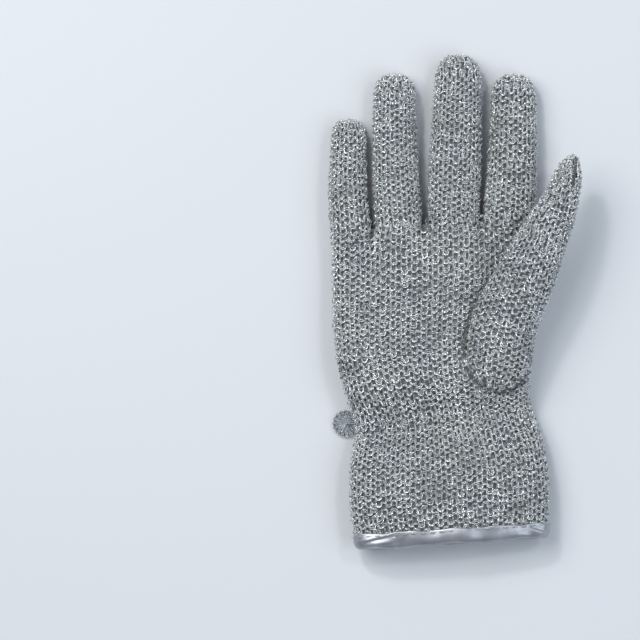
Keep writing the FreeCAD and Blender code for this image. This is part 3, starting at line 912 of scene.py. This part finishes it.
def make_thumb():
    """Three stretches of knit and lining like a finger's, and the seam that closes the tip, with a near-black
    thread in its groove as painted shadow.
    """
    free = float(THUMB_FREE @ thumb_axis)
    cuts = [free + cut for cut in cuts_between(THUMB_HINGES, THUMB_HALF)]
    at = [1.0] + [thumb.station(thumb_axis, cut) for cut in cuts] + [thumb.length - TIP_GAP]
    (seam_start, start_back), (seam_end, end_back) = THUMB_SEAM
    seam_low, seam_high = thumb.length - start_back, thumb.length - end_back
    grooves = [groove(seam_start, seam_end, seam_low, thumb.length, 1.8, 50.0)]
    for i, (zone, stall) in enumerate(zip(ZONES, STALLS)):
        hinge = THUMB_FREE + thumb_axis * THUMB_HINGES[i]
        hinge[2] = THUMB_HINGE_Z[i]
        join = bending()
        nodes = [f"thumb_{zone}_knuckle", f"thumb_{stall}_stall"] + (["thumb_root"] if i == 0 else [])
        stretch = (f"thumb_{zone}", thumb, at[i], at[i + 1])
        cloth(*stretch, THUMB_WALES, join, nodes, hidden=hand_tree if i < 2 else None, grooves=grooves)
        lined(*stretch, join, ["thumb_liner"] if i == 0 else [], closed_end=i == 2, grooves=grooves)
    # the thread lies in the groove and rises at both ends; it takes the last stretch's join
    count = 60
    s = np.linspace(seam_start, seam_end, count)
    v = np.linspace(seam_low + 3.0, seam_high, count)
    sunk = 0.9 * np.cos(np.linspace(-1.5, 1.5, count)) ** 0.5
    points, normals = thumb.sample(s, v, 0.15 - sunk)
    # the near-black thread is a painted shadow of the fold along the tip's seam
    thread = tubes("thumb_tip_seam", [(points, normals, False)], 0.5, 10)
    finished(dress(thread, SEAM_SHADOW_MATERIAL), join)


make_thumb()

# ---- palm, wrist and cuff ----
wrist_across = unit(WRIST_RIGHT - WRIST_LEFT)
wrist_up = np.array([-wrist_across[1], wrist_across[0], 0.0])
wrist_middle = (WRIST_LEFT + WRIST_RIGHT) / 2 + np.array([0, 0, 9.0])
WRIST_HALF = 11.4      # half the length of cloth that bends with the wrist
HAND_WALES = 42        # loops round the hand
HEM_END = 3.0          # the lowest course starts this far from the glove's end, under the tape
CUFF_END = 0.2         # the lining goes down to here
wrist_at = hand.station(wrist_up, float(wrist_middle @ wrist_up))
wrist_low, wrist_high = wrist_at - WRIST_HALF, wrist_at + WRIST_HALF
bend_wrist = bending()


def make_hand():
    """Palm, wrist and cuff: knit in a front and a back half, lining all round."""
    end = hand.length - END_GAP
    ride_palm, ride_cuff = riding("palm"), riding("cuff")
    for name, low, high, join, front, back, hidden in (
        ("palm", wrist_high, end, ride_palm, ["palm_panel"], ["back_panel"], thumb_tree),
        ("wrist", wrist_low, wrist_high, bend_wrist, ["wrist_gather"], [], None),
        ("cuff", HEM_END, wrist_low, ride_cuff, ["cuff_front_panel"], ["cuff_back_panel"], None),
    ):
        for side, part, nodes in (("front", (0.0, 0.5), front), ("back", (0.5, 1.0), back)):
            cloth(f"{name}_{side}", hand, low, high, HAND_WALES, join, nodes, part, hidden)
    for name, low, high, join in (
        ("palm", wrist_high, end, ride_palm),
        ("wrist", wrist_low, wrist_high, bend_wrist),
        ("cuff", CUFF_END, wrist_low, ride_cuff),
    ):
        lined(name, hand, low, high, join, [f"{name}_liner"], keep_apart=name == "palm", count=220)


make_hand()

ELASTIC_HALF = 3.0                 # half the band's width
ELASTIC_INNER = 2.9                # depths of its two faces
ELASTIC_OUTER = 2.5


def make_elastic():
    """The flat band between the knit and the liner, which draws the wrist in."""
    s = np.arange(200) / 200
    profile = [(-ELASTIC_HALF, ELASTIC_OUTER), (ELASTIC_HALF, ELASTIC_OUTER)]
    profile += [(v, ELASTIC_INNER) for v, _ in reversed(profile)]
    steps = []
    for (v0, d0), (v1, d1) in zip(profile, profile[1:] + profile[:1]):
        count = 5 if v0 != v1 else 1
        steps += [(mix(v0, v1, i / count), mix(d0, d1, i / count)) for i in range(count)]
    rings = []
    for v, depth in steps:
        rings.append(hand.sample(s, np.full(len(s), wrist_at + v), np.full(len(s), -depth))[0])
    piece = make_mesh("elastic_band", np.concatenate(rings), ring_faces(len(rings), len(s))[:, ::-1])
    finished(dress(piece, ELASTIC_MATERIAL), bend_wrist, ["wrist_elastic"])


make_elastic()

# ---- hem tape ----
TAPE_POINTS = 320
TAPE_OUTSIDE = 7.4     # how far the tape reaches up the outside and the inside of the hem
TAPE_INSIDE = 5.0
TAPE_FLOOR = 0.25      # no part of the tape reaches below this height


def make_tape():
    """The folded satin tape: a strip round the hem, creased at the ends and puffed between the stitches."""
    s = np.arange(TAPE_POINTS) / TAPE_POINTS
    turn = 2 * np.pi * s
    puff = 0.25 + 0.10 * np.sin(7 * turn + 1.0) * np.sin(3 * turn)
    sag = 0.5 + 0.45 * np.sin(5 * turn + 2.2) + 0.12 * np.sin(11 * turn)
    top = TAPE_OUTSIDE + 0.35 * np.sin(9 * turn) + 0.12 * np.sin(21 * turn + 1.0)
    left_folds = np.exp(-(((s - 0.44) / 0.045) ** 2))
    right_folds = np.exp(-(((s - 0.035) / 0.030) ** 2))
    # share of the way up the outside (1 top, 0 fold) and lift; then the fold; then the inside
    profile = []
    outside = (
        (1.0, 0.05), (0.985, 0.45), (0.94, 0.72), (0.86, 0.80), (0.76, 0.88), (0.66, 1.00), (0.56, 1.12),
        (0.46, 1.22), (0.36, 1.28), (0.26, 1.28), (0.16, 1.20), (0.06, 1.0),
    )
    for up, out in outside:
        bulge = 4 * up * (1 - up)
        left_phase = 2 * np.pi * (s * 13 + up * 2.1) + 0.4
        right_phase = 2 * np.pi * (s * 17 - up * 1.7) + 1.2
        fold = left_folds * 0.45 * (np.sin(left_phase) + 0.4 * np.sin(2 * left_phase))
        fold += right_folds * 0.40 * (np.sin(right_phase) + 0.4 * np.sin(2 * right_phase))
        profile.append((top * up - sag * (1 - up), out + (puff + fold) * bulge))
    for v, out in ((-0.9, 0.1), (-1.2, -1.6), (-0.9, -3.4)):
        profile.append((v - sag, np.full(TAPE_POINTS, out)))
    for up, out in ((0.0, -4.5), (0.3, -4.9), (0.7, -4.8), (0.97, -4.6), (1.0, -4.1)):
        profile.append((TAPE_INSIDE * up - sag * (1 - up) * 0.6, np.full(TAPE_POINTS, out)))
    rings = []
    for v, lift in profile:
        points, _ = hand.sample(s, v, lift)
        points[:, 2] = np.maximum(points[:, 2], TAPE_FLOOR)
        rings.append(points)
    piece = make_mesh("hem_tape", np.concatenate(rings), ring_faces(len(rings), TAPE_POINTS))
    smoothing = piece.modifiers.new("Smooth", "SUBSURF")
    smoothing.levels = 1
    smoothing.render_levels = 1
    finished(dress(piece, TAPE_MATERIAL), riding("cuff"), ["hem_binding"])


make_tape()

# ---- button ----
def make_button():
    """A clear button cut with two rows of facets round a flat table, with a hole through its middle."""
    # share of the radius, share of half the thickness, and how far the valleys between the ridges are cut in
    levels = [
        (0.0, 1.0, 0.0), (0.34, 1.0, 0.2), (0.64, 0.80, 0.9), (0.93, 0.30, 1.0),
        (1.0, -0.05, 0.9), (0.96, -0.35, 0.6), (0.60, -0.85, 0.5), (0.0, -1.0, 0.0),
    ]
    points = []
    for share, rise, cut in levels:
        z = rise * BUTTON_THICK / 2
        for k in range(BUTTON_SIDES):
            angle = 2 * math.pi * k / BUTTON_SIDES
            valley = cut if k % 2 else 0.0
            radius = BUTTON_HOLE + share * (BUTTON_R - BUTTON_HOLE - 0.8 * valley * share)
            level = z - math.copysign(min(valley, abs(z)), z) * 0.7
            offset = (radius * math.cos(angle), radius * math.sin(angle), level)
            points.append(BUTTON_CENTRE + np.array(offset))
    faces = []
    for i in range(len(levels)):
        here, there = i * BUTTON_SIDES, (i + 1) % len(levels) * BUTTON_SIDES
        for k in range(BUTTON_SIDES):
            j = (k + 1) % BUTTON_SIDES
            if k % 2:
                faces += [(here + k, there + k, there + j), (here + k, there + j, here + j)]
            else:
                faces += [(here + k, there + k, here + j), (here + j, there + k, there + j)]
    piece = make_mesh("clear_faceted_button", np.array(points), faces, smooth_faces=False)
    bevel = piece.modifiers.new("Edges", "BEVEL")
    bevel.width = 0.06 * MM
    bevel.segments = 2
    bevel.limit_method = "ANGLE"
    bevel.angle_limit = math.radians(8)
    finished(dress(piece, BUTTON_MATERIAL), riding("palm"), ["button"])


make_button()

# ---- CAD pieces that stay, with finished materials ----
for node, material in (
    ("button_thread", THREAD_MATERIAL),
    ("hem_stitches", THREAD_MATERIAL),
    # the base seam is real; its near-black colour is a painted shadow along the fold where the thumb meets
    # the palm
    ("thumb_seam", SEAM_SHADOW_MATERIAL),
):
    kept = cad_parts[node]
    kept.data.materials.clear()
    kept.data.materials.append(material)

# ---- stage, light and camera, in metres ----
FLOOR_HALF = 3.0
FRAME_WIDTH = 0.352        # what the view takes in at the glove's height
CAMERA_HEIGHT = 6.0
GLOVE_HEIGHT = 0.012
VIEW_CENTRE = (-0.0640, -0.0042)
SKY = (0.86, 0.91, 1.0, 1.0)
SKY_STRENGTH = 0.38
# name, place, diameter, power, colour
LIGHTS = (
    ("key", (-0.85, 0.65, 1.45), 1.4, 17.5, (1.0, 0.985, 0.955)),
    ("glint_left", (-0.55, 1.0, 1.30), 0.22, 5.6, (1.0, 1.0, 1.0)),
    ("glint_right", (0.75, 0.55, 1.45), 0.22, 2.8, (0.95, 0.98, 1.0)),
    ("fill", (1.0, -0.3, 1.2), 1.2, 6.5, (0.80, 0.90, 1.0)),
)


def make_stage():
    mesh = bpy.data.meshes.new("floor")
    corners = [(x * FLOOR_HALF, y * FLOOR_HALF, 0) for x, y in ((-1, -1), (1, -1), (1, 1), (-1, 1))]
    mesh.from_pydata(corners, [], [(0, 1, 2, 3)])
    floor = bpy.data.objects.new("floor", mesh)
    bpy.context.scene.collection.objects.link(floor)
    n = Nodes("floor")
    colour = n.ramp(n.noise(1.3, 2.0), [(0.3, (0.655, 0.686, 0.722)), (0.7, (0.686, 0.713, 0.745))])
    mesh.materials.append(n.finish(base_color=colour, roughness=0.6))


def area_light(name, place, size, power, colour):
    """A round soft light that points at the origin."""
    light = bpy.data.lights.new(name, "AREA")
    light.shape = "DISK"
    light.size = size
    light.energy = power
    light.color = colour
    lamp = bpy.data.objects.new(name, light)
    lamp.location = place
    lamp.rotation_euler = (-Vector(place)).to_track_quat("-Z", "Y").to_euler()
    bpy.context.scene.collection.objects.link(lamp)


def make_view():
    world = bpy.data.worlds.new("studio")
    world.use_nodes = True
    background = world.node_tree.nodes["Background"]
    background.inputs["Color"].default_value = SKY
    background.inputs["Strength"].default_value = SKY_STRENGTH
    scene = bpy.context.scene
    scene.world = world
    scene.view_settings.view_transform = "Standard"
    for light in LIGHTS:
        area_light(*light)
    lens = bpy.data.cameras.new("camera")
    lens.sensor_width = 36.0
    lens.lens = lens.sensor_width * (CAMERA_HEIGHT - GLOVE_HEIGHT) / FRAME_WIDTH
    camera = bpy.data.objects.new("camera", lens)
    camera.location = (*VIEW_CENTRE, CAMERA_HEIGHT)
    scene.collection.objects.link(camera)
    scene.camera = camera


make_stage()
make_view()
